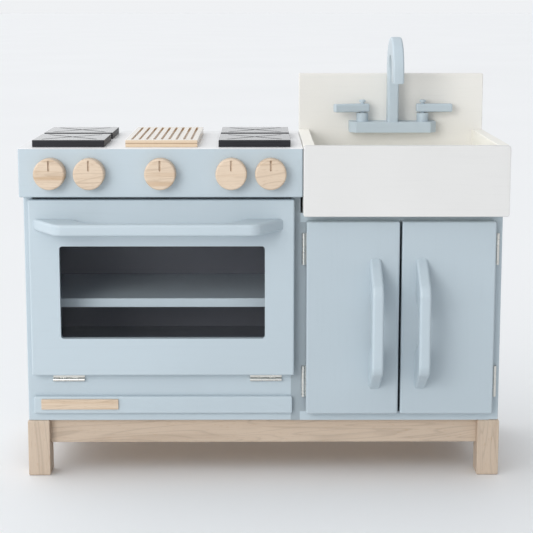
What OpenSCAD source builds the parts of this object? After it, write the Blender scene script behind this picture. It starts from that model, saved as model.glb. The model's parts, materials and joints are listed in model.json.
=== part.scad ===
// Wooden play kitchen: an oven with a hob on the left, a sink over a cupboard on the right.
// X runs along the front, -Y is the front, +Z is up. The origin is on the floor, under the
// middle of the whole object. Depths called d are measured forwards from the front of the legs.

/* [Overall] */
// Width across the hob and the sink
kitchen_w = 785; // [760:5:820]
// Height of the hob's white top above the floor
hob_h = 552.5; // [545:0.5:570]
// Depth of the boxes from the front edges of their boards to the back panel
box_depth = 260; // [240:5:300]
// Height of the legs
leg_h = 95; // [80:1:100]
// Side of a leg's square section
leg_w = 36; // [30:1:42]
// Thickness of the boards that make the boxes
board_t = 15; // [12:1:16]

/* [Oven] */
// Width of the oven unit at the hob
oven_unit_w = 455.5; // [450:0.5:470]
// Width and height of the oven door
oven_door_size = [430, 292]; // [280:1:440]
// Width and height of the window in the oven door
window_size = [333, 153.5]; // [120:0.5:350]
// Length of the oven handle
oven_handle_len = 403; // [300:1:410]
// Height of the control panel
panel_h = 79; // [70:1:85]
// Diameter of a knob
knob_dia = 50; // [36:1:56]
// Thickness of a knob
knob_t = 20; // [12:1:24]

/* [Cupboard] */
// Height of the cupboard doors
cupboard_door_h = 322; // [300:1:325]
// Length of a cupboard handle
cupboard_handle_len = 218; // [160:1:240]
// Thickness of all three doors
door_t = 15; // [12:1:15]
// How far the handles stand out from the doors
handle_reach = 58; // [45:1:65]
// Thickness of the handles and of the faucet's boards
handle_t = 19; // [15:1:22]

/* [Sink] */
// Height of the sink box
sink_h = 114; // [90:1:130]
// Height of the backsplash above the rim of the sink
splash_h = 100; // [60:1:140]
// Thickness of the sink's boards
sink_t = 18; // [15:1:20]
// How far the sink's apron stands forward of the legs
apron_d = 40; // [30:1:45]

/* [Faucet] */
// Length and depth of the faucet's bar
bar_size = [153.7, 35]; // [30:0.1:170]
// Height of the top of the spout above the bar
spout_h = 150; // [120:1:170]
// Outer radius of the spout's arch
arch_r = 58; // [45:1:65]
// Length of a lever
lever_len = 64; // [50:1:66]
// How far the left lever stands turned forwards
lever_turn = 15; // [0:1:45]

/* [Cooking] */
// Width of a grate and of the griddle
grate_w = 116; // [100:1:120]
// Depth of one grate
grate_depth = 100; // [80:1:105]
// Thickness of the grates and of the griddle
grate_t = 11.5; // [8:0.5:16]
// Number of grooves in the griddle
griddle_grooves = 9; // [5:2:9]

/* [Hidden] */
$fn = 48;

// Paint and material colours
blue = [0.70, 0.76, 0.80];
white = [0.90, 0.91, 0.91];
maple = [0.86, 0.76, 0.63];
ply = [0.80, 0.66, 0.47];
black = [0.11, 0.11, 0.13];
clear = [0.80, 0.83, 0.85, 0.35];
steel = [0.78, 0.78, 0.76];

// Depths along d: the box boards' front edges, the doors' backs and faces, the back
front_d = -2;
back_d = front_d - box_depth;
back_t = 4;
inner_d = back_d + back_t;
door_back_d = 1;
door_d = door_back_d + door_t;
panel_d = 24;
reach_d = door_d + handle_reach;
front_y = -(reach_d - back_d) / 2 + reach_d;

// The boxes across X: outer faces, the divider and the joint between hob and sink
half_w = kitchen_w / 2;
top_over = 2.5;
box_x = half_w - top_over;
in_x = box_x - board_t;
hob_x = -half_w + oven_unit_w;
divider_in = 3;
divider_x = [hob_x - divider_in - board_t, hob_x - divider_in];
sink_gap = 0.7;
sink_x = [hob_x + sink_gap, half_w];

// Heights
box_z = leg_h;
floor_z = box_z + board_t;
sheet_t = 0.8;
hob_board_t = 14.2;
hob_board_z = hob_h - sheet_t - hob_board_t;
panel_z = hob_h - panel_h;
rim_rise = 5.5;
sink_z = hob_h + rim_rise - sink_h;
sink_top = sink_z + sink_h;
sink_floor_t = 12;
fascia_t = 12;
fascia_top = 190;
oven_floor_t = 12;
top_rail_h = 18;

// The shelf in the oven and its pins
shelf_z = 273.5;
shelf_d = -60;
shelf_gap = 0.5;
shelf_pin_r = 4;
shelf_pin_in = 9;
shelf_pin_out = 10;
shelf_pin_d = [shelf_d - 30, inner_d + 40];

// Legs and rails
leg_in = 0.5;
leg_mid = half_w - leg_in - leg_w / 2;
rail_z = leg_h - 42;
rail_set = 14;
rail_t = 18;

// The strip on the fascia and the plaque on it
strip_x = [-379.5, 47];
strip_z = [108.5, 138];
strip_t = 8;
plaque_x = [-367, -240];
plaque_z = [117, 134];
plaque_t = 3;

// The oven door and its window
oven_x = -380;
oven_z = 176.5;
window_mid = [-164.5, 315.5];
window_r = 5;
rebate = 8;
rebate_d = 8;
pane_t = 3;
pane_gap = 0.3;
retainer_set = 1;
retainer_screw_in = 30;
retainer_screw_out = 2.5;
retainer_screw_len = 9;

// The cupboard doors
cupboard_z = 110.5;
cupboard_x = [69.7, 221, 224.6, 377.3];
stile_w = 27;
stile_r = 18;

// Handles: the outline of a bridge, its sloping ends and its feet
bridge_run = 41.5;
bridge_foot = 63.5;
bridge_bar = 20;
bridge_in = 25;
oven_handle_at = [-170, 428];
cupboard_handle_x = [182, 257];
cupboard_handle_z = 263;
handle_screw_off = 4;

// Butt hinges
barrel_r = 3.1;
pin_r = 1.55;
pin_fit = 0.05;
leaf_t = 1.2;
hinge_len = 52;
knuckles = 5;
knuckle_gap = 0.3;
barrel_gap = 0.1;
barrel_web = 1;
leaf_start = barrel_r + 0.4;
hinge_d = front_d + barrel_r + barrel_gap;
hinge_off = 4.2;
oven_hinge_z = 165.8;
oven_hinge_x = [-321.5, 3.7];
oven_leaf_w = 24;
cupboard_hinge_z = [162.5, 385];
cupboard_hinge_x = [cupboard_x[0] - hinge_off, cupboard_x[3] + hinge_off];
cupboard_leaf_w = 17;
leaf_screw_in = 6.2;
leaf_screw_gap = 17;

// Screws
csk_r = 2.7;
csk_shank_r = 1.4;
csk_len = 9;
pan_r = 4.2;
pan_top_r = 3.2;
pan_h = 2.2;
pan_shank_r = 2;
handle_screw_in = 16;

// Catches
catch_size = [24, 16.8, 18];
catch_out = 0.8;
plate_t = 1.5;
plate_h = 10;
plate_drop = catch_size[2] / 2 + 2.5;
oven_catch_x = window_mid[0];
cupboard_catch_x = [207, 239];

// Knobs
knob_mid = [-164.5, 513];
knob_offsets = [-176, -113, 0, 113, 176];
knob_round = 3;
knob_gap = 0.6;
spindle_r = 6;
spindle_fit = 0.05;
spindle_in = 1;
collar_r = 11;
collar_t = 5;
collar_gap = 1;
mark_r = 1.6;
mark_deep = 3;
mark_v = [7, 21];

// Grates and griddle
grate_x = [-314.5, -14.5];
grate_d = 4;
grate_gap = 19;
line_w = 4.6;
line_deep = 2.6;
line_in = 15;
groove_w = 4.2;
groove_pitch = 12;
groove_deep = 4;
groove_end = 9;

// Faucet
bar_x = 229.5;
bar_drop = 3;
bar_z = sink_top - bar_drop;
bar_top = bar_z + handle_t;
splash_d = -235;
chamfer = 11;
post_off = 53.5;
post_x = [bar_x - post_off, bar_x + post_off];
post_r = 10.5;
post_h = 15;
tenon_r = 6;
tenon_h = 10;
tenon_gap = 0.5;
post_d = splash_d + bar_size[1] / 2;
lever_gap = 1.8;
lever_z = bar_top + post_h + lever_gap;
lever_h = 14.5;
lever_in = 11.6;
peg_neck = 2.8;
lever_top = lever_z + lever_h + peg_neck;
peg_r = 3.5;
peg_z = bar_top + 3;
peg_head_r = 5.5;
peg_head_h = 4.2;
peg_head_round = 1.4;
band = 32;
nozzle_h = 20;
glue_fit = 0.02;
faucet_screw_off = 30;
faucet_screw_in = 18;

// How far a cutting shape runs past what it cuts
cut = 1;

// A box between x[0] and x[1], depths d[0] and d[1], and heights z[0] and z[1]
module block(x, d, z)
    translate([x[0], front_y - d[1], z[0]])
        cube([x[1] - x[0], d[1] - d[0], z[1] - z[0]]);

// Round bars along X, along Z, and along the depth from d[0] forwards to d[1]
module rod_x(x, d, z, r)
    translate([x[0], front_y - d, z]) rotate([0, 90, 0]) cylinder(h = x[1] - x[0], r = r);
module rod_z(x, d, z, r)
    translate([x, front_y - d, z[0]]) cylinder(h = z[1] - z[0], r = r);
module rod_d(x, d, z, r)
    translate([x, front_y - d[0], z]) rotate([90, 0, 0]) cylinder(h = d[1] - d[0], r = r);

// A flat outline drawn in X and Z, standing up and spread over depths d[0] to d[1]
module upright(d)
    translate([0, front_y - d[0], 0]) rotate([90, 0, 0]) linear_extrude(d[1] - d[0]) children();

// A rectangle of size s about the point c, with corners of radius r
module round_rect(c, s, r)
    translate([c[0], c[1]]) {
        square([s[0] - 2 * r, s[1]], center = true);
        square([s[0], s[1] - 2 * r], center = true);
        for (i = [-1, 1], j = [-1, 1])
            translate([i * (s[0] / 2 - r), j * (s[1] / 2 - r)]) circle(r);
    }

// ---- Screws: each lies along its own -Z. The origin is the top of a countersunk head and the
// underside of a pan head ----
module csk_screw() {
    translate([0, 0, -leaf_t]) cylinder(h = leaf_t, r1 = csk_shank_r, r2 = csk_r);
    translate([0, 0, -csk_len]) cylinder(h = csk_len - leaf_t, r = csk_shank_r);
}

module pan_screw(length) {
    cylinder(h = pan_h, r1 = pan_r, r2 = pan_top_r);
    translate([0, 0, -length]) cylinder(h = length, r = pan_shank_r);
}

// Lays a screw at x, z with its head at depth d, driven backwards (way -1) or forwards (way 1)
module driven(x, d, z, way)
    translate([x, front_y - d, z]) rotate([way * 90 + 180, 0, 0]) children();

// ---- Butt hinges: the barrel lies along local Z about its middle, the leaf runs to +X ----
knuckle_len = (hinge_len - (knuckles - 1) * knuckle_gap) / knuckles;
function knuckle_z(i) = -hinge_len / 2 + i * (knuckle_len + knuckle_gap);

module hinge_leaf(first, leaf_w, depth)
    difference() {
        union() {
            translate([leaf_start, -depth - leaf_t, -hinge_len / 2])
                cube([leaf_w - leaf_start, leaf_t, hinge_len]);
            for (i = [first:2:knuckles - 1]) translate([0, 0, knuckle_z(i)]) {
                cylinder(h = knuckle_len, r = barrel_r);
                translate([0, -depth - leaf_t, 0]) cube([barrel_r + barrel_web, leaf_t, knuckle_len]);
            }
        }
        translate([0, 0, -hinge_len]) cylinder(h = 2 * hinge_len, r = pin_r + pin_fit);
        for (s = [-1, 1])
            translate([leaf_w - leaf_screw_in, -depth, s * leaf_screw_gap]) leaf_hole(depth);
    }

// The countersunk hole through a leaf: a fixed leaf's opens forwards, a door leaf's backwards
module leaf_hole(depth)
    if (depth > leaf_t)
        rotate([-90, 0, 0]) csk_hole();
    else
        translate([0, -leaf_t, 0]) rotate([90, 0, 0]) csk_hole();

module csk_hole() {
    translate([0, 0, -leaf_t]) cylinder(h = leaf_t, r1 = csk_shank_r, r2 = csk_r);
    translate([0, 0, -2 * leaf_t]) cylinder(h = 2 * leaf_t, r = csk_shank_r);
}

// Puts a hinge drawn as above on the front: upright, its leaf to the right (way 1) or left
module hinge_at(x, z, way)
    translate([x, front_y - hinge_d, z]) scale_way(way) mirror([0, 1, 0]) children();

module scale_way(way)
    if (way > 0) children(); else mirror([1, 0, 0]) children();

// Puts it under the oven door: its barrel along X, its leaf upwards
module oven_hinge_at(x)
    translate([x, front_y - hinge_d, oven_hinge_z]) rotate([0, -90, 0]) mirror([0, 1, 0]) children();

// Depths of the two leaves behind the pin: on the box, and on the back of a door
fixed_leaf = hinge_d - front_d - leaf_t;
door_leaf = hinge_d - door_back_d;

// Where the leaf screws go: [x, z] on each door
oven_screw_z = oven_hinge_z + oven_leaf_w - leaf_screw_in;
oven_leaf_screws = [for (x = oven_hinge_x, s = [-1, 1]) [x + s * leaf_screw_gap, oven_screw_z]];
function cupboard_leaf_screws(side) = [
    for (z = cupboard_hinge_z, s = [-1, 1])
        [cupboard_hinge_x[side] + (1 - 2 * side) * (cupboard_leaf_w - leaf_screw_in),
         z + s * leaf_screw_gap]
];

module frame_leaf_screws(points)
    for (p = points) driven(p[0], front_d + leaf_t, p[1], -1) csk_screw();
module door_leaf_screws(points)
    for (p = points) driven(p[0], door_back_d - leaf_t, p[1], 1) csk_screw();

// ---- Handles ----
module bridge(length, bar_t)
    linear_extrude(bar_t, center = true) polygon([
        [-length / 2, 0], [-length / 2 + bridge_run, handle_reach],
        [length / 2 - bridge_run, handle_reach], [length / 2, 0],
        [length / 2 - bridge_foot, 0],
        [length / 2 - bridge_foot - bridge_in, handle_reach - bridge_bar],
        [-length / 2 + bridge_foot + bridge_in, handle_reach - bridge_bar],
        [-length / 2 + bridge_foot, 0]
    ]);

function handle_ends(length) = [for (s = [-1, 1]) s * (length / 2 - bridge_foot / 2 - handle_screw_off)];

module oven_handle_screws()
    for (e = handle_ends(oven_handle_len))
        driven(oven_handle_at[0] + e, door_back_d, oven_handle_at[1], 1)
            pan_screw(door_t + handle_screw_in);

module cupboard_handle_screws(side)
    for (e = handle_ends(cupboard_handle_len))
        driven(cupboard_handle_x[side], door_back_d, cupboard_handle_z + e, 1)
            pan_screw(door_t + handle_screw_in);

// ---- Base ----
module legs(d)
    for (s = [-1, 1])
        color(maple) block([s * leg_mid - leg_w / 2, s * leg_mid + leg_w / 2], [d - leg_w, d],
                           [0, leg_h]);

rail_x = leg_mid - leg_w / 2;
module legs_front() legs(0);
module legs_rear() legs(back_d + leg_w);
module base_rail_front()
    color(maple) block([-rail_x, rail_x], [-rail_set - rail_t, -rail_set], [rail_z, leg_h]);
module base_rail_rear()
    color(maple) block([-rail_x, rail_x],
                       [back_d + rail_set, back_d + rail_set + rail_t], [rail_z, leg_h]);
module base_rails_side()
    for (s = [-1, 1])
        color(maple) block([s * (rail_x + leg_w - rail_set - rail_t / 2) - rail_t / 2,
                            s * (rail_x + leg_w - rail_set - rail_t / 2) + rail_t / 2],
                           [back_d + leg_w, -leg_w], [rail_z, leg_h]);

// ---- Boxes ----
module side_panel_left()
    color(blue) difference() {
        block([-box_x, -in_x], [inner_d, front_d], [box_z, hob_board_z]);
        shelf_pin_rods();
    }
module side_panel_right() color(blue) block([in_x, box_x], [inner_d, front_d], [box_z, sink_z]);
module divider_panel()
    color(blue) difference() {
        block(divider_x, [inner_d, front_d], [box_z, hob_board_z]);
        shelf_pin_rods();
    }
module hinge_stiles()
    color(blue) difference() {
        union() {
            block([divider_x[1], divider_x[1] + stile_w], [front_d - fascia_t, front_d],
                  [floor_z, sink_z - board_t]);
            block([in_x - stile_r, in_x], [front_d - fascia_t, front_d],
                  [floor_z, sink_z - board_t]);
        }
        for (side = [0, 1]) frame_leaf_screws(cupboard_leaf_screws(side));
    }
module floor_panels()
    color(blue) {
        block([-in_x, divider_x[0]], [inner_d, front_d - fascia_t], [box_z, floor_z]);
        block([divider_x[1], in_x], [inner_d, front_d], [box_z, floor_z]);
    }
module oven_floor()
    color(blue) block([-in_x, divider_x[0]], [inner_d, front_d - fascia_t],
                      [fascia_top - oven_floor_t, fascia_top]);
module cabinet_top()
    color(blue) block([divider_x[1], in_x], [inner_d, front_d], [sink_z - board_t, sink_z]);
module lower_fascia()
    color(blue) difference() {
        block([-in_x, divider_x[0]], [front_d - fascia_t, front_d], [box_z, fascia_top]);
        frame_leaf_screws(oven_leaf_screws);
    }
module top_rail()
    color(blue) block([-in_x, divider_x[0]], [front_d - rail_t, front_d],
                      [panel_z, panel_z + top_rail_h]);
module back_panel()
    color(blue) upright([back_d, inner_d]) polygon([
        [-box_x, box_z], [box_x, box_z], [box_x, sink_z], [divider_x[1], sink_z],
        [divider_x[1], hob_h - sheet_t], [-box_x, hob_h - sheet_t]
    ]);
module hob_board()
    color(white) block([-box_x, divider_x[1]], [inner_d, front_d],
                       [hob_board_z, hob_h - sheet_t]);
module hob_top_sheet()
    color(white) block([-half_w, hob_x], [back_d, panel_d], [hob_h - sheet_t, hob_h]);
module control_panel()
    color(blue) difference() {
        block([-half_w, hob_x], [front_d, panel_d], [panel_z, hob_h - sheet_t]);
        for (k = knob_offsets)
            rod_d(knob_mid[0] + k, [front_d - cut, panel_d + cut], knob_mid[1],
                  spindle_r + spindle_fit);
    }
module trim_strip()
    color(blue) block(strip_x, [front_d, front_d + strip_t], strip_z);
module name_plaque()
    color(maple) block(plaque_x, [front_d + strip_t, front_d + strip_t + plaque_t], plaque_z);
module oven_shelf()
    color(blue) block([-in_x + shelf_gap, divider_x[0] - shelf_gap], [inner_d + shelf_gap, shelf_d],
                      [shelf_z, shelf_z + board_t]);
module shelf_pin_rods()
    for (d = shelf_pin_d) {
        rod_x([-in_x - shelf_pin_in, -in_x + shelf_pin_out], d, shelf_z - shelf_pin_r, shelf_pin_r);
        rod_x([divider_x[0] - shelf_pin_out, divider_x[0] + shelf_pin_in], d,
              shelf_z - shelf_pin_r, shelf_pin_r);
    }
module shelf_pins() color(maple) shelf_pin_rods();

// ---- Sink ----
module sink_apron() color(white) block(sink_x, [apron_d - sink_t, apron_d], [sink_z, sink_top]);
module sink_sides()
    for (x = [sink_x[0], sink_x[1] - sink_t])
        color(white) block([x, x + sink_t], [splash_d, apron_d - sink_t], [sink_z, sink_top]);
module sink_floor()
    color(white) block([sink_x[0] + sink_t, sink_x[1] - sink_t], [splash_d, apron_d - sink_t],
                       [sink_z, sink_z + sink_floor_t]);
module backsplash()
    color(white) difference() {
        block(sink_x, [splash_d - sink_t, splash_d], [sink_z, sink_top + splash_h]);
        faucet_screws();
    }

// ---- Faucet ----
module faucet_screws()
    for (s = [-1, 1])
        driven(bar_x + s * faucet_screw_off, splash_d - sink_t, bar_z + handle_t / 2, 1)
            pan_screw(sink_t + faucet_screw_in);
module faucet_bar()
    color(blue) difference() {
        translate([bar_x, front_y - splash_d, bar_z]) mirror([0, 1, 0]) linear_extrude(handle_t)
            polygon([
                [-bar_size[0] / 2, 0], [bar_size[0] / 2, 0],
                [bar_size[0] / 2, bar_size[1] - chamfer],
                [bar_size[0] / 2 - chamfer, bar_size[1]],
                [-bar_size[0] / 2 + chamfer, bar_size[1]],
                [-bar_size[0] / 2, bar_size[1] - chamfer]
            ]);
        for (x = post_x)
            rod_z(x, post_d, [bar_top - tenon_h, bar_top + cut], tenon_r + glue_fit);
        faucet_screws();
    }
module faucet_spout()
    color(blue) translate([bar_x - handle_t / 2, front_y - splash_d, bar_top])
        rotate([90, 0, 90]) linear_extrude(handle_t) mirror([1, 0, 0]) spout_outline();
module spout_outline() {
    square([band, spout_h - arch_r]);
    translate([2 * arch_r - band, spout_h - arch_r - nozzle_h]) square([band, nozzle_h]);
    translate([arch_r, spout_h - arch_r]) difference() {
        intersection() {
            circle(arch_r, $fn = 96);
            translate([-arch_r, 0]) square([2 * arch_r, arch_r]);
        }
        circle(arch_r - band, $fn = 96);
    }
}
module valve_posts()
    for (x = post_x) color(blue) difference() {
        union() {
            rod_z(x, post_d, [bar_top, bar_top + post_h], post_r);
            rod_z(x, post_d, [bar_top - tenon_h + tenon_gap, bar_top], tenon_r);
        }
        rod_z(x, post_d, [peg_z, bar_top + post_h + cut], peg_r + glue_fit);
    }
module lever_pegs()
    for (x = post_x) color(blue) {
        rod_z(x, post_d, [peg_z, lever_top], peg_r);
        translate([x, front_y - post_d, lever_top]) rotate_extrude() peg_head();
    }
module peg_head()
    union() {
        square([peg_head_r - peg_head_round, peg_head_h]);
        square([peg_head_r, peg_head_h - peg_head_round]);
        translate([peg_head_r - peg_head_round, peg_head_h - peg_head_round])
            circle(peg_head_round);
    }
module lever()
    difference() {
        translate([-lever_in, -lever_h / 2, 0]) cube([lever_len, lever_h, lever_h]);
        translate([0, 0, -cut]) cylinder(h = lever_h + 2 * cut, r = peg_r + pin_fit);
    }
module lever_left()
    color(blue) translate([post_x[0], front_y - post_d, lever_z])
        rotate([0, 0, 180 + lever_turn]) lever();
module lever_right()
    color(blue) translate([post_x[1], front_y - post_d, lever_z]) lever();

// ---- Hob ----
module grate(i, row) {
    d = grate_d - row * (grate_depth + grate_gap);
    color(black) difference() {
        block([grate_x[i] - grate_w / 2, grate_x[i] + grate_w / 2], [d - grate_depth, d],
              [hob_h, hob_h + grate_t]);
        for (a = [-1, 1])
            translate([grate_x[i], front_y - d + grate_depth / 2, hob_h + grate_t - line_deep])
                rotate([0, 0, a * atan2(line_span[1], line_span[0])]) grate_line(norm(line_span));
    }
}
line_span = [grate_w - 2 * line_in, grate_depth - 2 * line_in];
module grate_line(length)
    linear_extrude(line_deep + cut) {
        square([length, line_w], center = true);
        for (s = [-1, 1]) translate([s * length / 2, 0]) circle(line_w / 2);
    }
module grate_front_left() grate(0, 0);
module grate_rear_left() grate(0, 1);
module grate_front_right() grate(1, 0);
module grate_rear_right() grate(1, 1);

griddle_depth = 2 * grate_depth + grate_gap;
groove_len = griddle_depth - 2 * groove_end - groove_w;
module griddle()
    color(ply) difference() {
        block([window_mid[0] - grate_w / 2, window_mid[0] + grate_w / 2],
              [grate_d - griddle_depth, grate_d], [hob_h, hob_h + grate_t]);
        for (i = [0:griddle_grooves - 1])
            translate([window_mid[0] + (i - (griddle_grooves - 1) / 2) * groove_pitch,
                       front_y - grate_d + griddle_depth / 2, hob_h + grate_t - groove_deep])
                groove();
    }
module groove()
    linear_extrude(groove_deep + cut) {
        square([groove_w, groove_len], center = true);
        for (s = [-1, 1]) translate([0, s * groove_len / 2]) circle(groove_w / 2);
    }

// ---- Knobs: a turned face on a spindle through the panel, with a collar behind ----
module knob(i)
    translate([knob_mid[0] + knob_offsets[i], front_y - panel_d, knob_mid[1]]) {
        color(maple) difference() {
            rotate([90, 0, 0]) {
                translate([0, 0, knob_gap]) rotate_extrude($fn = 96) knob_outline();
                translate([0, 0, -knob_spindle])
                    cylinder(h = knob_spindle + knob_gap + spindle_in, r = spindle_r);
            }
            translate([0, -knob_gap - knob_t, 0]) rotate([90, 0, 0]) knob_mark();
        }
        color(maple) rotate([-90, 0, 0]) translate([0, 0, panel_d - front_d + collar_gap])
            difference() {
                cylinder(h = collar_t, r = collar_r);
                translate([0, 0, -cut]) cylinder(h = collar_t + 2 * cut, r = spindle_r);
            }
    }
knob_spindle = panel_d - front_d + collar_gap + collar_t;
module knob_outline() {
    square([knob_dia / 2 - knob_round, knob_t]);
    square([knob_dia / 2, knob_t - knob_round]);
    translate([knob_dia / 2 - knob_round, knob_t - knob_round]) circle(knob_round);
}
// A short slot from near the rim towards the middle, with round ends
module knob_mark()
    translate([0, 0, -mark_deep]) linear_extrude(mark_deep + cut) {
        translate([-mark_r, mark_v[0]]) square([2 * mark_r, mark_v[1] - mark_v[0]]);
        for (v = mark_v) translate([0, v]) circle(mark_r);
    }

// ---- Oven door ----
pane_size = window_size + 2 * [rebate - pane_gap, rebate - pane_gap];
module oven_door()
    color(blue) difference() {
        block([oven_x, oven_x + oven_door_size[0]], [door_back_d, door_d],
              [oven_z, oven_z + oven_door_size[1]]);
        upright([door_back_d - cut, door_d + cut]) round_rect(window_mid, window_size, window_r);
        upright([door_back_d - cut, door_back_d + rebate_d])
            round_rect(window_mid, window_size + 2 * [rebate, rebate], window_r);
        oven_handle_screws();
        door_leaf_screws(oven_leaf_screws);
        catch_plate_screw(oven_catch_x, panel_z - plate_drop);
        retainer_screws();
    }
module oven_window()
    color(clear) upright([door_back_d + rebate_d - pane_t, door_back_d + rebate_d])
        round_rect(window_mid, pane_size, window_r);
module window_retainer()
    color(blue) upright([door_back_d, door_back_d + rebate_d - pane_t]) difference() {
        round_rect(window_mid, pane_size, window_r);
        round_rect(window_mid, window_size + 2 * [retainer_set, retainer_set], window_r);
    }
// Pan screws on the door's back whose heads hold the retainer in
module retainer_screws()
    for (i = [-1, 0, 1], j = [-1, 1])
        driven(window_mid[0] + i * (window_size[0] / 2 - retainer_screw_in), door_back_d,
               window_mid[1] + j * (window_size[1] / 2 + rebate + retainer_screw_out), 1)
            pan_screw(retainer_screw_len);
module oven_handle()
    color(blue) difference() {
        translate([oven_handle_at[0], front_y - door_d, oven_handle_at[1]]) mirror([0, 1, 0])
            bridge(oven_handle_len, handle_t);
        oven_handle_screws();
    }
module oven_hinge_leaves()
    color(steel) for (x = oven_hinge_x) oven_hinge_at(x) hinge_leaf(1, oven_leaf_w, door_leaf);
module oven_door_fixings()
    color(steel) {
        oven_handle_screws();
        door_leaf_screws(oven_leaf_screws);
        retainer_screws();
        catch_plate(oven_catch_x, panel_z - plate_drop);
    }

// ---- Catches ----
module catch_block(x, z)
    block([x - catch_size[0] / 2, x + catch_size[0] / 2],
          [front_d + catch_out - catch_size[1], front_d + catch_out], [z - catch_size[2], z]);
module catch_plate(x, z) {
    difference() {
        block([x - catch_size[0] / 2, x + catch_size[0] / 2],
              [door_back_d - plate_t, door_back_d], [z - plate_h / 2, z + plate_h / 2]);
        catch_plate_screw(x, z);
    }
    catch_plate_screw(x, z, pin_fit);
}
// The plate's screw, or with less the screw drawn that much slimmer, clear of its hole
module catch_plate_screw(x, z, less = 0)
    driven(x, door_back_d - plate_t, z, 1) translate([0, 0, -csk_len])
        cylinder(h = csk_len, r = csk_r - less);
module magnetic_catches()
    color(black) {
        catch_block(oven_catch_x, panel_z);
        for (x = cupboard_catch_x) catch_block(x, sink_z - board_t);
    }

// ---- Cupboard doors ----
plate_z = sink_z - board_t - plate_drop;
module cabinet_door(side)
    color(blue) difference() {
        block([cupboard_x[2 * side], cupboard_x[2 * side + 1]], [door_back_d, door_d],
              [cupboard_z, cupboard_z + cupboard_door_h]);
        cupboard_handle_screws(side);
        door_leaf_screws(cupboard_leaf_screws(side));
        catch_plate_screw(cupboard_catch_x[side], plate_z);
    }
module cabinet_handle(side)
    color(blue) difference() {
        translate([cupboard_handle_x[side], front_y - door_d, cupboard_handle_z])
            rotate([0, -90, 0]) mirror([0, 1, 0]) bridge(cupboard_handle_len, handle_t);
        cupboard_handle_screws(side);
    }
module cabinet_hinge_leaves(side)
    color(steel) for (z = cupboard_hinge_z)
        hinge_at(cupboard_hinge_x[side], z, 1 - 2 * side)
            hinge_leaf(1, cupboard_leaf_w, door_leaf);
module cabinet_fixings(side)
    color(steel) {
        cupboard_handle_screws(side);
        door_leaf_screws(cupboard_leaf_screws(side));
        catch_plate(cupboard_catch_x[side], plate_z);
    }
module cabinet_door_left() cabinet_door(0);
module cabinet_door_right() cabinet_door(1);
module handle_left() cabinet_handle(0);
module handle_right() cabinet_handle(1);
module hinge_leaves_left() cabinet_hinge_leaves(0);
module hinge_leaves_right() cabinet_hinge_leaves(1);
module door_fixings_left() cabinet_fixings(0);
module door_fixings_right() cabinet_fixings(1);

// ---- Hinge parts that stay on the boxes ----
module hinge_leaves_fixed()
    color(steel) {
        for (x = oven_hinge_x) oven_hinge_at(x) hinge_leaf(0, oven_leaf_w, fixed_leaf);
        for (side = [0, 1], z = cupboard_hinge_z)
            hinge_at(cupboard_hinge_x[side], z, 1 - 2 * side)
                hinge_leaf(0, cupboard_leaf_w, fixed_leaf);
    }
module hinge_pins()
    color(steel) {
        for (x = oven_hinge_x)
            rod_x([x - hinge_len / 2, x + hinge_len / 2], hinge_d, oven_hinge_z, pin_r);
        for (x = cupboard_hinge_x, z = cupboard_hinge_z)
            rod_z(x, hinge_d, [z - hinge_len / 2, z + hinge_len / 2], pin_r);
    }
module frame_screws()
    color(steel) {
        frame_leaf_screws(oven_leaf_screws);
        for (side = [0, 1]) frame_leaf_screws(cupboard_leaf_screws(side));
        faucet_screws();
    }

legs_front();
legs_rear();
base_rail_front();
base_rail_rear();
base_rails_side();
side_panel_left();
side_panel_right();
divider_panel();
hinge_stiles();
floor_panels();
oven_floor();
cabinet_top();
lower_fascia();
top_rail();
back_panel();
hob_board();
hob_top_sheet();
control_panel();
trim_strip();
name_plaque();
oven_shelf();
shelf_pins();
sink_apron();
sink_sides();
sink_floor();
backsplash();
faucet_bar();
faucet_spout();
valve_posts();
lever_pegs();
lever_left();
lever_right();
grate_front_left();
grate_rear_left();
grate_front_right();
grate_rear_right();
griddle();
knob(0);  // knob_1
knob(1);  // knob_2
knob(2);  // knob_3
knob(3);  // knob_4
knob(4);  // knob_5
oven_door();
oven_window();
window_retainer();
oven_handle();
oven_hinge_leaves();
oven_door_fixings();
cabinet_door_left();
handle_left();
hinge_leaves_left();
door_fixings_left();
cabinet_door_right();
handle_right();
hinge_leaves_right();
door_fixings_right();
hinge_leaves_fixed();
hinge_pins();
frame_screws();
magnetic_catches();
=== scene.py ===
"""Toy kitchen: finishes, softened edges, floor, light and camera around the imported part."""

import json
import math

import bmesh
import bpy
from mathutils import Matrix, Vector


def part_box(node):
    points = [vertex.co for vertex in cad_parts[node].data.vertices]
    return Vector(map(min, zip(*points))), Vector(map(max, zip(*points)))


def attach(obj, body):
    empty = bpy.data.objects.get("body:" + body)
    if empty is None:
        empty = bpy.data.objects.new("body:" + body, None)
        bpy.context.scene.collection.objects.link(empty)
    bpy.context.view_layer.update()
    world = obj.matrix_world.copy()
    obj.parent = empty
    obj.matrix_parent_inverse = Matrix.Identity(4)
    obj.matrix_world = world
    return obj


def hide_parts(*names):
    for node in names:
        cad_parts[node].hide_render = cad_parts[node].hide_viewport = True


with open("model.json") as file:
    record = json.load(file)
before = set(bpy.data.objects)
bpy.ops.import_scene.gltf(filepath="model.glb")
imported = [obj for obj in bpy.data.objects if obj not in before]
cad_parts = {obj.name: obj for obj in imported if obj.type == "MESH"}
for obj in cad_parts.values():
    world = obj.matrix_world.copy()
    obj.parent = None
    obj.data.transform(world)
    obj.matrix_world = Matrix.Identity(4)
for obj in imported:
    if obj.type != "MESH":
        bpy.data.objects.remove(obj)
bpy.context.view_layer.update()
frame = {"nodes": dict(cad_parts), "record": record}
nodes = frame["nodes"]
low_corner = {n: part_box(n)[0] for n in nodes}
high_corner = {n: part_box(n)[1] for n in nodes}
owner = {n: b for b, members in frame["record"]["behaviour"]["bodies"].items() for n in members}

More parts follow.
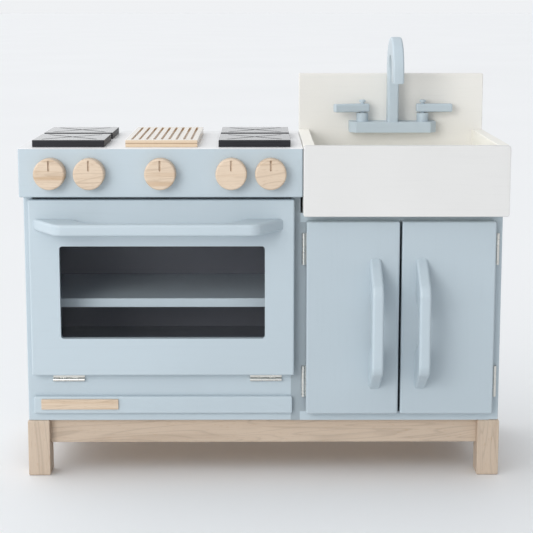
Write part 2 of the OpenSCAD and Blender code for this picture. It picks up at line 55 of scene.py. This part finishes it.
# ---- Regions that a finish can tell apart, in metres ----
SKIN = 0.0004
BASE_TOP = high_corner["legs_front"].z + 0.0005

# The oven's inside, a skin past the faces round it and short of the boards' front edges
CAVITY_LOW = (
    high_corner["side_panel_left"].x - SKIN,
    low_corner["side_panel_left"].y + 2 * SKIN,
    high_corner["oven_floor"].z - SKIN,
)
CAVITY_HIGH = (
    low_corner["divider_panel"].x + SKIN,
    low_corner["back_panel"].y + SKIN,
    low_corner["hob_board"].z + SKIN,
)


# ---- Shader graphs ----
SQUARE = 0.9


class Graph:
    """A material's node tree, with short calls for the nodes that the finishes share."""

    def __init__(self, name):
        self.material = bpy.data.materials.new(name)
        self.material.use_nodes = True
        self.tree = self.material.node_tree
        self.tree.nodes.clear()
        self.output = self.add("ShaderNodeOutputMaterial")
        self.shader = self.add("ShaderNodeBsdfPrincipled")
        self.join(self.shader.outputs[0], self.output.inputs["Surface"])

    def add(self, kind, **settings):
        node = self.tree.nodes.new(kind)
        for key, value in settings.items():
            setattr(node, key, value)
        return node

    def join(self, source, target):
        self.tree.links.new(source, target)

    def place(self, scale=(1, 1, 1), offset=(0, 0, 0), turn=(0, 0, 0)):
        """Object coordinates in metres, turned by Euler angles, then times scale, plus offset."""
        where = self.add("ShaderNodeTexCoord")
        turned = self.add("ShaderNodeMapping")
        turned.inputs["Rotation"].default_value = turn
        mapped = self.add("ShaderNodeMapping")
        mapped.inputs["Scale"].default_value = scale
        mapped.inputs["Location"].default_value = offset
        self.join(where.outputs["Object"], turned.inputs["Vector"])
        self.join(turned.outputs["Vector"], mapped.inputs["Vector"])
        return mapped.outputs["Vector"]

    def noise(self, vector, scale=1.0, detail=2.0, rough=0.5, distortion=0.0):
        made = self.add("ShaderNodeTexNoise")
        made.inputs["Scale"].default_value = scale
        made.inputs["Detail"].default_value = detail
        made.inputs["Roughness"].default_value = rough
        made.inputs["Distortion"].default_value = distortion
        self.join(vector, made.inputs["Vector"])
        return made.outputs["Fac"]

    def ramp(self, value, stops, smooth=True):
        """stops are (position, value or colour)."""
        made = self.add("ShaderNodeValToRGB")
        band = made.color_ramp
        band.interpolation = "EASE" if smooth else "LINEAR"
        while len(band.elements) < len(stops):
            band.elements.new(0.5)
        for element, (position, colour) in zip(band.elements, stops):
            element.position = position
            if not hasattr(colour, "__len__"):
                colour = (colour,) * 3
            element.color = (*colour, 1)
        self.join(value, made.inputs["Fac"])
        return made.outputs["Color"]

    def mix(self, a, b, amount, mode="MIX"):
        made = self.add("ShaderNodeMix", data_type="RGBA", blend_type=mode)
        for value, socket in ((a, made.inputs[6]), (b, made.inputs[7]), (amount, made.inputs[0])):
            if hasattr(value, "is_output"):
                self.join(value, socket)
            elif hasattr(value, "__len__"):
                socket.default_value = (*value, 1)
            else:
                socket.default_value = value
        return made.outputs[2]

    def maths(self, operation, a, b):
        made = self.add("ShaderNodeMath", operation=operation)
        for value, socket in ((a, made.inputs[0]), (b, made.inputs[1])):
            if hasattr(value, "is_output"):
                self.join(value, socket)
            else:
                socket.default_value = value
        return made.outputs[0]

    def part(self, vector, axis):
        """One component of a vector."""
        split = self.add("ShaderNodeSeparateXYZ")
        self.join(vector, split.inputs["Vector"])
        return split.outputs[axis]

    def facing(self, axis):
        """The surface's own normal along an axis, from -1 to 1."""
        return self.part(self.add("ShaderNodeNewGeometry").outputs["True Normal"], axis)

    def within(self, low, high):
        """1 inside a box, 0 outside it."""
        vector, inside = self.place(), 1.0
        for axis, a, b in zip("XYZ", low, high):
            at = self.part(vector, axis)
            inside = self.maths("MULTIPLY", self.maths("GREATER_THAN", at, a), inside)
            inside = self.maths("MULTIPLY", self.maths("LESS_THAN", at, b), inside)
        return inside

    def underneath(self):
        """1 on faces that look at the floor from the base's height, where boards are left bare."""
        down = self.maths("LESS_THAN", self.facing("Z"), -SQUARE)
        low = self.maths("LESS_THAN", self.part(self.place(), "Z"), BASE_TOP)
        return self.maths("MULTIPLY", down, low)

    def bump(self, height, distance, normal=None):
        made = self.add("ShaderNodeBump")
        made.inputs["Strength"].default_value = 1.0
        made.inputs["Distance"].default_value = distance
        self.join(height, made.inputs["Height"])
        if normal is not None:
            self.join(normal, made.inputs["Normal"])
        return made.outputs["Normal"]

    def finish(self, colour=None, roughness=None, normal=None, coat=None, **uniform):
        inputs = {
            "Base Color": colour, "Roughness": roughness, "Normal": normal, "Coat Weight": coat,
        }  # fmt: skip
        for name, value in inputs.items():
            if value is not None:
                self.join(value, self.shader.inputs[name])
        for name, value in uniform.items():
            self.shader.inputs[name.replace("_", " ")].default_value = value
        return self.material


ALONG = {"X": (1, 0, 0), "Y": (0, 1, 0), "Z": (0, 0, 1)}
PLIES = 3
RINGS = 13
SLANT = (0.06, 0.07, 0.05)
FINE = 700
GRIT = 950
BARE_DARK, BARE_PALE = (0.58, 0.40, 0.25), (0.74, 0.54, 0.36)


def stretched(axis, along, across):
    """A texture scale of along on the grain's axis and across on the other two."""
    return tuple(along if on else across for on in ALONG[axis])


def tint(colour, factor):
    return tuple(min(1.0, c * factor) for c in colour)


def paint(name, colour, axis, offset, rough=0.4, dark_cavity=True):
    """Satin paint on board: roller stipple, faint grain below it, and a slow drift of tone."""
    g = Graph(name)
    slow = g.noise(g.place((3.1, 3.1, 3.1), offset), 1.0, 3.0, 0.55)
    base = g.ramp(slow, [(0.3, tint(colour, 0.975)), (0.7, tint(colour, 1.02))])
    grain = g.noise(g.place(stretched(axis, 9, 260), offset), 1.0, 3.0, 0.6, 0.2)
    base = g.mix(base, tint(colour, 0.93), g.ramp(grain, [(0.5, 0.0), (0.9, 0.5)]))
    flecks = g.noise(g.place((FINE, FINE, FINE), offset), 1.0, 1.0, 0.4)
    base = g.mix(base, tint(colour, 1.06), g.ramp(flecks, [(0.62, 0.0), (0.8, 0.35)]))
    # Faces inside the oven's cavity are made dark charcoal.
    if dark_cavity:
        base = g.mix(base, CHARCOAL, g.within(CAVITY_LOW, CAVITY_HIGH))
    bare = g.ramp(grain, [(0.3, BARE_DARK), (0.7, BARE_PALE)])
    base = g.mix(base, bare, g.underneath())
    smear = g.noise(g.place(stretched(axis, 14, 60), offset), 1.0, 2.0, 0.5)
    gloss = g.ramp(smear, [(0.25, rough - 0.05), (0.75, rough + 0.07)])
    stipple = g.noise(g.place((GRIT, GRIT, GRIT), offset), 1.0, 2.0, 0.5)
    normal = g.bump(stipple, 0.000035)
    normal = g.bump(grain, 0.00003, normal)
    return g.finish(base, gloss, normal, IOR=1.46, Coat_Weight=0.12, Coat_Roughness=0.22)


def solid_wood(name, axis, offset, tones, rough=0.52, pitch=42, flecked=0.4):
    """Oiled hardwood: bands and rings of growth, fine fibres, short dark rays along the grain."""
    g = Graph(name)
    pale, deep, ray = tones
    bands = g.noise(g.place(stretched(axis, 2.2, pitch), offset), 1.0, 4.0, 0.55, 0.8)
    base = g.ramp(bands, [(0.32, deep), (0.5, tint(pale, 0.97)), (0.72, pale)])
    fibres = g.noise(g.place(stretched(axis, 16, 900), offset), 1.0, 3.0, 0.7)
    base = g.mix(base, tint(deep, 0.82), g.ramp(fibres, [(0.48, 0.0), (0.75, 0.42)]))
    figure = g.noise(g.place(stretched(axis, 2.4, 34), offset, SLANT), 1.0, 1.5, 0.35, 0.5)
    rings = g.maths("FRACT", g.maths("MULTIPLY", figure, RINGS), 0.0)
    late = g.ramp(rings, [(0.0, 0.15), (0.12, 0.0), (0.7, 0.0), (0.96, 0.36)])
    base = g.mix(base, tint(deep, 0.72), late)
    short = g.noise(g.place(stretched(axis, 90, 700), offset), 1.0, 1.0, 0.4)
    rays = g.ramp(short, [(0.63, 0.0), (0.72, flecked)])
    base = g.mix(base, ray, rays)
    drift = g.noise(g.place((7, 7, 7), offset), 1.0, 2.0, 0.5)
    base = g.mix(base, tint(pale, 1.07), g.ramp(drift, [(0.45, 0.0), (0.8, 0.55)]))
    gloss = g.ramp(fibres, [(0.3, rough - 0.06), (0.7, rough + 0.1)])
    normal = g.bump(fibres, 0.00006)
    normal = g.bump(rays, 0.00002, normal)
    return g.finish(base, gloss, normal, IOR=1.45, Coat_Weight=0.08, Coat_Roughness=0.4)


def plywood(name, offset, low, high):
    """Birch ply lying flat: pale grain with the top made paler still as painted sheen, grooves that
    show raw wood, plies along its edges.
    """
    g = Graph(name)
    face = g.noise(g.place(stretched("Y", 4, 120), offset), 1.0, 4.0, 0.6, 0.5)
    # The top's colour is pale birch, made paler still as painted sheen for the gloss seen low
    # across it.
    top = g.ramp(face, [(0.3, (0.78, 0.69, 0.56)), (0.7, (0.88, 0.81, 0.70))])
    raw = g.ramp(face, [(0.3, (0.52, 0.38, 0.24)), (0.7, (0.66, 0.49, 0.33))])
    rise = g.maths("SUBTRACT", g.part(g.place(), "Z"), low)
    rise = g.maths("MULTIPLY", rise, 1 / (high - low))
    ragged = g.noise(g.place((60, 60, 400), offset), 1.0, 2.0, 0.5)
    height = g.maths("ADD", rise, g.maths("MULTIPLY", g.maths("SUBTRACT", ragged, 0.5), 0.05))
    layers = g.ramp(
        height,
        [
            (0.0, (0.55, 0.40, 0.26)), (0.05, (0.68, 0.53, 0.37)), (0.42, (0.69, 0.54, 0.38)),
            (0.47, (0.36, 0.24, 0.15)), (0.54, (0.40, 0.27, 0.17)), (0.60, (0.64, 0.49, 0.34)),
            (0.95, (0.70, 0.56, 0.41)), (1.0, (0.62, 0.48, 0.34)),
        ],
    )  # fmt: skip
    up = g.ramp(g.maths("ABSOLUTE", g.facing("Z"), 0.0), [(0.6, 0.0), (0.8, 1.0)])
    cut = g.ramp(rise, [(0.80, 1.0), (0.93, 0.0)])
    base = g.mix(layers, g.mix(top, raw, cut), up)
    fibres = g.noise(g.place(stretched("Y", 20, 800), offset), 1.0, 2.0, 0.6)
    base = g.mix(base, (0.48, 0.34, 0.21), g.ramp(fibres, [(0.55, 0.0), (0.8, 0.3)]))
    gloss = g.mix(g.ramp(fibres, [(0.3, 0.27), (0.7, 0.38)]), (0.7, 0.7, 0.7), cut)
    normal = g.bump(fibres, 0.00004)
    return g.finish(base, gloss, normal, IOR=1.52, Coat_Weight=0.9, Coat_Roughness=0.16)


def black_paint(name, offset, low, high):
    """Satin black on plywood: faint brush lines on top, the plies' ridges showing on the edges."""
    g = Graph(name)
    brush = g.noise(g.place(stretched("X", 20, 420), offset), 1.0, 3.0, 0.6)
    base = g.ramp(brush, [(0.3, (0.008, 0.008, 0.011)), (0.75, (0.015, 0.015, 0.020))])
    dust = g.noise(g.place((1300, 1300, 1300), offset), 1.0, 1.0, 0.4)
    base = g.mix(base, (0.05, 0.05, 0.055), g.ramp(dust, [(0.68, 0.0), (0.8, 0.4)]))
    rise = g.maths("SUBTRACT", g.part(g.place(), "Z"), low)
    rise = g.maths("MULTIPLY", rise, 1 / (high - low))
    edge = g.ramp(g.maths("ABSOLUTE", g.facing("Z"), 0.0), [(0.3, 1.0), (0.6, 0.0)])
    wave = g.maths("SINE", g.maths("MULTIPLY", rise, 2 * math.pi * PLIES), 0.0)
    ridge = g.maths("MULTIPLY", g.ramp(wave, [(0.35, 0.0), (0.65, 1.0)]), edge)
    base = g.mix(base, (0.028, 0.028, 0.036), g.maths("MULTIPLY", ridge, 0.5))
    cut = g.ramp(rise, [(0.85, 1.0), (0.97, 0.0)])
    matt = g.maths("MULTIPLY", cut, g.maths("SUBTRACT", 1.0, edge))
    gloss = g.mix(g.ramp(brush, [(0.2, 0.20), (0.8, 0.27)]), (0.85, 0.85, 0.85), matt)
    normal = g.bump(brush, 0.000006)
    normal = g.bump(ridge, 0.00025, normal)
    polished = g.maths("MULTIPLY", g.maths("SUBTRACT", 1.0, cut), g.maths("SUBTRACT", 1.0, edge))
    coat = g.maths("MAXIMUM", polished, 0.06)
    gloss = g.mix(gloss, (0.5, 0.5, 0.5), edge)
    return g.finish(base, gloss, normal, coat, IOR=1.36, Coat_Roughness=0.1)


def metal(name):
    """Nickel-plated steel: brushed lines and a few dull patches."""
    g = Graph(name)
    lines = g.noise(g.place((1600, 260, 260)), 1.0, 2.0, 0.6)
    base = g.ramp(lines, [(0.3, (0.70, 0.69, 0.65)), (0.7, (0.78, 0.77, 0.73))])
    dull = g.noise(g.place((90, 90, 90)), 1.0, 3.0, 0.6)
    base = g.mix(base, (0.50, 0.47, 0.42), g.ramp(dull, [(0.58, 0.0), (0.8, 0.5)]))
    gloss = g.ramp(dull, [(0.3, 0.26), (0.75, 0.40)])
    return g.finish(base, gloss, g.bump(lines, 0.000003), Metallic=1.0)


def plastic(name, colour):
    """Moulded plastic with a fine spark-eroded texture."""
    g = Graph(name)
    grit = g.noise(g.place((1800, 1800, 1800)), 1.0, 2.0, 0.6)
    base = g.ramp(grit, [(0.3, tint(colour, 0.85)), (0.7, tint(colour, 1.2))])
    gloss = g.ramp(g.noise(g.place((120, 120, 120))), [(0.3, 0.48), (0.7, 0.6)])
    return g.finish(base, gloss, g.bump(grit, 0.00004), IOR=1.48)


def pane(name):
    """Clear acrylic: a thin film over what is behind it, with faint wiping marks in its gloss."""
    g = Graph(name)
    wiped = g.noise(g.place((6, 30, 16)), 1.0, 3.0, 0.6, 0.6)
    base = g.ramp(wiped, [(0.3, (0.10, 0.11, 0.13)), (0.8, (0.16, 0.17, 0.19))])
    gloss = g.ramp(wiped, [(0.3, 0.05), (0.8, 0.12)])
    swell = g.noise(g.place((14, 14, 14)), 1.0, 1.0, 0.4)
    return g.finish(base, gloss, g.bump(swell, 0.00006), IOR=1.49, Alpha=0.05)


def floor_paper(name):
    """Matt studio paper: a very slow drift of tone and a fine tooth."""
    g = Graph(name)
    slow = g.noise(g.place((0.6, 0.6, 0.6)), 1.0, 2.0, 0.5)
    base = g.ramp(slow, [(0.3, (0.94, 0.945, 0.95)), (0.7, (0.955, 0.96, 0.965))])
    tooth = g.noise(g.place((400, 400, 400)), 1.0, 2.0, 0.5)
    gloss = g.ramp(tooth, [(0.3, 0.75), (0.7, 0.85)])
    return g.finish(base, gloss, g.bump(tooth, 0.00005), IOR=1.3)


BLUE = (0.475, 0.555, 0.607)
WHITE = (0.765, 0.762, 0.752)
# The basin's cream is painted light: brighter and warmer than the white paint, for the light and
# bounce inside the basin.
CREAM_WITH_PAINTED_BOUNCE = (0.925, 0.905, 0.835)
LAMINATE = (0.86, 0.862, 0.868)
CHARCOAL = (0.150, 0.158, 0.190)
# Painted light: the oven's shelf is painted lighter as painted light on it, the stiles and the
# divider darker as painted shade in their recess, and the cupboard doors slightly darker as painted
# shade.
PAINTED_LIGHT_TONES = {
    "oven_shelf": 1.3, "hinge_stiles": 0.68, "divider_panel": 0.68,
    "cabinet_door_left": 0.93, "cabinet_door_right": 0.95,
}  # fmt: skip
# Whites per board: the apron is painted darker as painted shade, the backsplash lighter and warmer
# and the basin's sides and floor cream as painted light and bounce; the hob's top sheet is its own
# lighter laminate.
WHITE_TONES_WITH_PAINTED_LIGHT = {
    "sink_apron": tint(WHITE, 0.92), "backsplash": (0.80, 0.785, 0.745),
    "sink_sides": CREAM_WITH_PAINTED_BOUNCE, "sink_floor": CREAM_WITH_PAINTED_BOUNCE, "hob_top_sheet": LAMINATE,
}  # fmt: skip
RAY = (0.40, 0.27, 0.16)
TURNED_MAPLE = ((0.67, 0.54, 0.415), (0.53, 0.38, 0.25), RAY)
BASE_MAPLE = ((0.575, 0.465, 0.365), (0.46, 0.36, 0.275), tint(RAY, 1.1))

# ---- Which finish each node takes: node -> (maker, arguments) ----
BLUE_BOARDS = {
    "side_panel_left": "Z", "side_panel_right": "Z", "divider_panel": "Z", "hinge_stiles": "Z",
    "floor_panels": "X", "oven_floor": "X", "cabinet_top": "X", "lower_fascia": "X",
    "top_rail": "X", "back_panel": "Z", "control_panel": "X", "trim_strip": "X",
    "oven_shelf": "X", "faucet_bar": "X", "faucet_spout": "Z", "valve_posts": "Z",
    "lever_pegs": "Z", "lever_left": "X", "lever_right": "X", "oven_door": "X",
    "window_retainer": "X", "oven_handle": "X", "cabinet_door_left": "Z", "handle_left": "Z",
    "cabinet_door_right": "Z", "handle_right": "Z",
}  # fmt: skip
WHITE_BOARDS = {
    "hob_board": "X", "hob_top_sheet": "X", "sink_apron": "X", "sink_sides": "Y",
    "sink_floor": "X", "backsplash": "X",
}  # fmt: skip
WOODS = {
    "legs_front": "Z", "legs_rear": "Z", "base_rail_front": "X", "base_rail_rear": "X",
    "base_rails_side": "Y", "name_plaque": "X", "shelf_pins": "X",
    "knob_1": "X", "knob_2": "X", "knob_3": "X", "knob_4": "X", "knob_5": "X",
}  # fmt: skip
GRATES = ("grate_front_left", "grate_rear_left", "grate_front_right", "grate_rear_right")
STEELS = (
    "oven_hinge_leaves", "oven_door_fixings", "hinge_leaves_left", "door_fixings_left",
    "hinge_leaves_right", "door_fixings_right", "hinge_leaves_fixed", "hinge_pins",
    "frame_screws",
)  # fmt: skip


def step(index):
    """An offset that gives each board its own stretch of pattern."""
    return (index * 1.37, index * 2.11, index * 0.73)


# Each family of finishes starts at its own stretch of pattern
WHITE_FROM, WOOD_FROM, GRATE_FROM, PLY_AT = 40, 60, 80, 90

finishes = {}
for index, (node, axis) in enumerate(BLUE_BOARDS.items()):
    # Some boards take a lighter or darker blue: painted light and painted shade.
    tone = tint(BLUE, PAINTED_LIGHT_TONES.get(node, 1.0))
    # Every blue board but the shelf, the oven door and its retainer turns dark charcoal inside the
    # oven's cavity.
    dark_cavity = node not in ("oven_shelf", "oven_door", "window_retainer")
    finishes[node] = paint("blue_paint_" + node, tone, axis, step(index), dark_cavity=dark_cavity)
for index, (node, axis) in enumerate(WHITE_BOARDS.items()):
    # Most white boards take a tone of painted light or painted shade; the hob's top sheet takes its
    # own laminate colour.
    tone = WHITE_TONES_WITH_PAINTED_LIGHT.get(node, WHITE)
    finishes[node] = paint("white_paint_" + node, tone, axis, step(WHITE_FROM + index), 0.38)
for index, (node, axis) in enumerate(WOODS.items()):
    name, offset = "maple_" + node, step(WOOD_FROM + index)
    if node.startswith(("leg", "base")):
        finishes[node] = solid_wood(name, axis, offset, BASE_MAPLE)
    else:
        finishes[node] = solid_wood(name, axis, offset, TURNED_MAPLE, 0.46, 60, 0.3)
low, high = low_corner["griddle"].z, high_corner["griddle"].z
for index, node in enumerate(GRATES):
    finishes[node] = black_paint("black_paint_" + node, step(GRATE_FROM + index), low, high)
finishes["griddle"] = plywood("birch_ply", step(PLY_AT), low, high)
steel = metal("nickel")
for node in STEELS:
    finishes[node] = steel
finishes["magnetic_catches"] = plastic("catch_plastic", (0.03, 0.03, 0.032))
finishes["oven_window"] = pane("clear_pane")

for node, finish in finishes.items():
    nodes[node].data.materials[0] = finish


# ---- Softened edges: widths and lengths in metres ----
SAME_PLACE = 0.00002
CLOSE = 0.0004
FLAT = 0.99


def ease(node, width, segments=3):
    """Rounds every edge of a plain CAD board by modifiers on the board itself."""
    o = nodes[node]
    weld = o.modifiers.new("weld", "WELD")
    weld.merge_threshold = SAME_PLACE
    bevel = o.modifiers.new("ease", "BEVEL")
    bevel.width = width
    bevel.segments = segments
    bevel.limit_method = "ANGLE"
    bevel.angle_limit = math.radians(40)
    bevel.use_clamp_overlap = True
    normals = o.modifiers.new("normals", "WEIGHTED_NORMAL")
    normals.keep_sharp = True


def soften(node, *passes, clamp=True):
    """Stands a copy of the CAD node in for it, with chosen edges rounded.

    Each pass is (width, segments, test of an edge)."""
    mesh = nodes[node].data.copy()
    if "custom_normal" in mesh.attributes:
        mesh.attributes.remove(mesh.attributes["custom_normal"])
    bm = bmesh.new()
    bm.from_mesh(mesh)
    bmesh.ops.remove_doubles(bm, verts=bm.verts, dist=SAME_PLACE)
    bmesh.ops.dissolve_limit(bm, angle_limit=math.radians(0.6), verts=bm.verts, edges=bm.edges)
    for width, segments, test in passes:
        bm.normal_update()
        picked = [
            e for e in bm.edges
            if e.is_manifold and e.calc_face_angle() > math.radians(15) and test(e)
        ]
        bmesh.ops.bevel(
            bm, geom=picked, offset=width, offset_type="OFFSET", segments=segments,
            profile=0.5, affect="EDGES", clamp_overlap=clamp,
        )
    bm.normal_update()
    for face in bm.faces:
        face.smooth = True
    for edge in bm.edges:
        edge.smooth = not (edge.is_manifold and edge.calc_face_angle() > math.radians(32))
    bm.to_mesh(mesh)
    bm.free()
    piece = bpy.data.objects.new(node + "_eased", mesh)
    bpy.context.scene.collection.objects.link(piece)
    normals = piece.modifiers.new("normals", "WEIGHTED_NORMAL")
    normals.keep_sharp = True
    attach(piece, owner[node])
    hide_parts(node)
    return piece


def middle(edge):
    return (edge.verts[0].co + edge.verts[1].co) / 2


def runs(edge, axis):
    """How squarely an edge runs along an axis, from 0 to 1."""
    return abs((edge.verts[0].co - edge.verts[1].co).normalized()["XYZ".index(axis)])


def longer(length):
    return lambda e: e.calc_length() > length


def beside(axis, exclude=None):
    """Edges with one face square to axis: the outline of a flat piece on both of its sides."""
    pick = "XYZ".index(axis)

    def test(e):
        flats = [abs(f.normal[pick]) > FLAT for f in e.link_faces]
        return any(flats) and not all(flats) and not (exclude and exclude(middle(e)))

    return test


def near(a, b):
    return abs(a - b) < CLOSE


def outline(node, face=None, skip=()):
    """Edges on the outer box of a board seen from the front.

    face "front" or "back" keeps that side's edges and the short ones between them;
    skip names sides left sharp."""
    low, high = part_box(node)
    front, back = low.y, high.y
    sides = {"left": (0, low.x), "right": (0, high.x), "bottom": (2, low.z), "top": (2, high.z)}

    def test(e):
        at = middle(e)
        on = {name for name, (axis, value) in sides.items() if near(at[axis], value)}
        if not on or on & set(skip):
            return False
        if runs(e, "Y") > SQUARE:
            return len(on) == 2
        if face is None:
            return True
        return near(at.y, front if face == "front" else back)

    return test


def rim(node, margin=0.01):
    """Edges on a door's front face that aren't on its outer box: the rim of an opening."""
    low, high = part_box(node)

    def test(e):
        at = middle(e)
        inside = low.x + margin < at.x < high.x - margin and low.z + margin < at.z < high.z - margin
        return inside and near(at.y, low.y)

    return test


def rim_of_block(node):
    """Edges that end on a block's four upright sides, so that grooves in its top stay crisp."""
    low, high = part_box(node)

    def on_a_side(at):
        return any((near(at.x, low.x), near(at.x, high.x), near(at.y, low.y), near(at.y, high.y)))

    return lambda e: all(on_a_side(v.co) for v in e.verts)


def bends(node, axis, span):
    """Edges across a handle where its outline turns; span is how far out from its feet."""
    foot = high_corner[node].y
    inner, outer = span
    wide = longer(0.01)
    return lambda e: runs(e, axis) > FLAT and wide(e) and inner < foot - middle(e).y < outer


# Plain boards
for node, width in {
    "legs_front": 0.0024, "legs_rear": 0.0024, "base_rail_front": 0.001,
    "base_rail_rear": 0.001, "base_rails_side": 0.001, "hob_top_sheet": 0.0003,
    "trim_strip": 0.0026, "name_plaque": 0.0007, "oven_shelf": 0.0012, "sink_apron": 0.003,
    "sink_sides": 0.0012,
}.items():  # fmt: skip
    ease(node, width)

# Boards whose joints stay tight and whose free edges are rounded
for node, width, segments, face, skip in (
    ("side_panel_left", 0.0016, 3, None, ("top", "right")),
    ("side_panel_right", 0.0016, 3, None, ("top", "left")),
    ("lower_fascia", 0.0012, 3, "front", ("left", "right", "top")),
    ("control_panel", 0.0026, 4, "front", ("top",)),
):
    soften(node, (width, segments, outline(node, face, skip)))
soften("backsplash", (0.0016, 3, longer(0.012)))

# Doors
door_edge, rim_edge, back_edge = 0.003, 0.0032, 0.0012
soften(
    "oven_door",
    (door_edge, 4, outline("oven_door", "front")),
    (rim_edge, 4, rim("oven_door")),
    (back_edge, 2, outline("oven_door", "back")),
)
for node in ("cabinet_door_left", "cabinet_door_right"):
    soften(node, (door_edge, 4, outline(node, "front")), (back_edge, 2, outline(node, "back")))

# Handles: soft bends first, then the rounded outline
outer_bend, inner_bend, grip_edge = 0.012, 0.008, 0.0046
for node, axis in (("oven_handle", "Z"), ("handle_left", "X"), ("handle_right", "X")):
    foot = high_corner[node].y
    soften(
        node,
        (outer_bend, 5, bends(node, axis, (0.050, 0.060))),
        (inner_bend, 4, bends(node, axis, (0.030, 0.045))),
        (grip_edge, 5, beside(axis, exclude=lambda at, foot=foot: at.y > foot - 0.0005)),
        clamp=False,
    )

# Faucet
bar_edge, spout_edge, lever_edge, post_edge = 0.0014, 0.0034, 0.0026, 0.0011
bar_height, bar_wall = 0.017, high_corner["faucet_bar"].y - 0.002
spout_foot = low_corner["faucet_spout"].z + 0.001
post_top = high_corner["valve_posts"].z


def bar_corner(e):
    """An upright edge of the bar that isn't on the wall."""
    return runs(e, "Z") > SQUARE and longer(bar_height)(e) and middle(e).y < bar_wall


soften(
    "faucet_bar",
    (bar_edge, 2, bar_corner),
    (bar_edge, 3, lambda e: beside("Z")(e) and longer(0.008)(e)),
)
soften(
    "faucet_spout",
    (spout_edge, 4, beside("X", exclude=lambda at: at.z < spout_foot)),
    clamp=False,
)
for node in ("lever_left", "lever_right"):
    soften(node, (lever_edge, 4, longer(0.01)))
soften("lever_pegs")
soften(
    "valve_posts",
    (post_edge, 3, lambda e: near(middle(e).z, post_top) and longer(post_edge)(e)),
)

# Hob
block_edge = 0.0008
for node in (*GRATES, "griddle"):
    soften(node, (block_edge, 2, rim_of_block(node)))

# ---- Floor: a disc wide enough that its rim lies at the horizon ----
FLOOR_RADIUS = 90.0
disc = bmesh.new()
bmesh.ops.create_circle(disc, cap_ends=True, radius=FLOOR_RADIUS, segments=96)
floor_mesh = bpy.data.meshes.new("floor")
disc.to_mesh(floor_mesh)
disc.free()
floor = bpy.data.objects.new("floor", floor_mesh)
floor_mesh.materials.append(floor_paper("studio_paper"))
bpy.context.scene.collection.objects.link(floor)

# ---- Light: a soft box at the front left, and a pale sky stronger on the left and above ----
SKY = (0.965, 0.98, 1.0)
SKY_EVEN = 0.80
SKY_LEAN = (-0.70, 0.0, 0.0)
SKY_TOP = 0.22
BACKDROP = 0.90
KEY_WATTS = 30
KEY_SIZE = 1.35
KEY_AT = (-1.4, -2.4, 1.3)
KEY_AIM = (0.0, 0.0, 0.4)


def studio_sky():
    """An even light plus a lean across the room and a part from overhead; looks plain itself."""
    sky = bpy.data.worlds.new("studio")
    sky.use_nodes = True
    tree = sky.node_tree
    tree.nodes.clear()

    def add(kind, operation=None, second=None):
        node = tree.nodes.new(kind)
        if operation:
            node.operation = operation
        if second is not None:
            node.inputs[1].default_value = second
        return node

    where = add("ShaderNodeTexCoord")
    split = add("ShaderNodeSeparateXYZ")
    lean = add("ShaderNodeVectorMath", "DOT_PRODUCT", SKY_LEAN)
    above = add("ShaderNodeMath", "MAXIMUM", 0.0)
    total = add("ShaderNodeMath", "MULTIPLY_ADD", SKY_TOP)
    level = add("ShaderNodeMath", "ADD", SKY_EVEN)
    light = add("ShaderNodeBackground")
    backdrop = add("ShaderNodeBackground")
    backdrop.inputs["Strength"].default_value = BACKDROP
    ray = add("ShaderNodeLightPath")
    choose = add("ShaderNodeMixShader")
    out = add("ShaderNodeOutputWorld")
    for glow in (light, backdrop):
        glow.inputs["Color"].default_value = (*SKY, 1)
    for source, target in (
        (where.outputs["Generated"], lean.inputs[0]),
        (where.outputs["Generated"], split.inputs[0]),
        (split.outputs["Z"], above.inputs[0]),
        (above.outputs[0], total.inputs[0]),
        (lean.outputs["Value"], total.inputs[2]),
        (total.outputs[0], level.inputs[0]),
        (level.outputs[0], light.inputs["Strength"]),
        (ray.outputs["Is Camera Ray"], choose.inputs[0]),
        (light.outputs[0], choose.inputs[1]),
        (backdrop.outputs[0], choose.inputs[2]),
        (choose.outputs[0], out.inputs["Surface"]),
    ):
        tree.links.new(source, target)
    return sky


bpy.context.scene.world = studio_sky()
key = bpy.data.lights.new("key", "AREA")
key.energy = KEY_WATTS
key.shape = "SQUARE"
key.size = KEY_SIZE
key.color = (1.0, 0.985, 0.96)
key_light = bpy.data.objects.new("key", key)
bpy.context.scene.collection.objects.link(key_light)
key_light.location = KEY_AT
aim = Vector(KEY_AIM) - key_light.location
key_light.rotation_euler = aim.to_track_quat("-Z", "Y").to_euler()
key_light.visible_camera = False

# The soft box is flagged off the floor, so that no broad shadow falls on it
flag = bpy.data.collections.new("off_the_floor")
flag.objects.link(floor)
key_light.light_linking.receiver_collection = flag
flag.collection_objects[0].light_linking.link_state = "EXCLUDE"

# ---- Camera: place in metres, angles in degrees ----
EYE_AT = (-0.004, -2.156, 0.784)
TILT_DOWN, TURN_RIGHT = 7.939, 0.243
camera = bpy.data.cameras.new("camera")
camera.lens = 86.84
camera.sensor_width = 36
camera.shift_y = -0.16
camera.clip_start, camera.clip_end = 0.05, 400
eye = bpy.data.objects.new("camera", camera)
eye.location = EYE_AT
eye.rotation_euler = (math.radians(90 - TILT_DOWN), 0, math.radians(-TURN_RIGHT))
bpy.context.scene.collection.objects.link(eye)
bpy.context.scene.camera = eye

bpy.context.scene.view_settings.view_transform = "Standard"
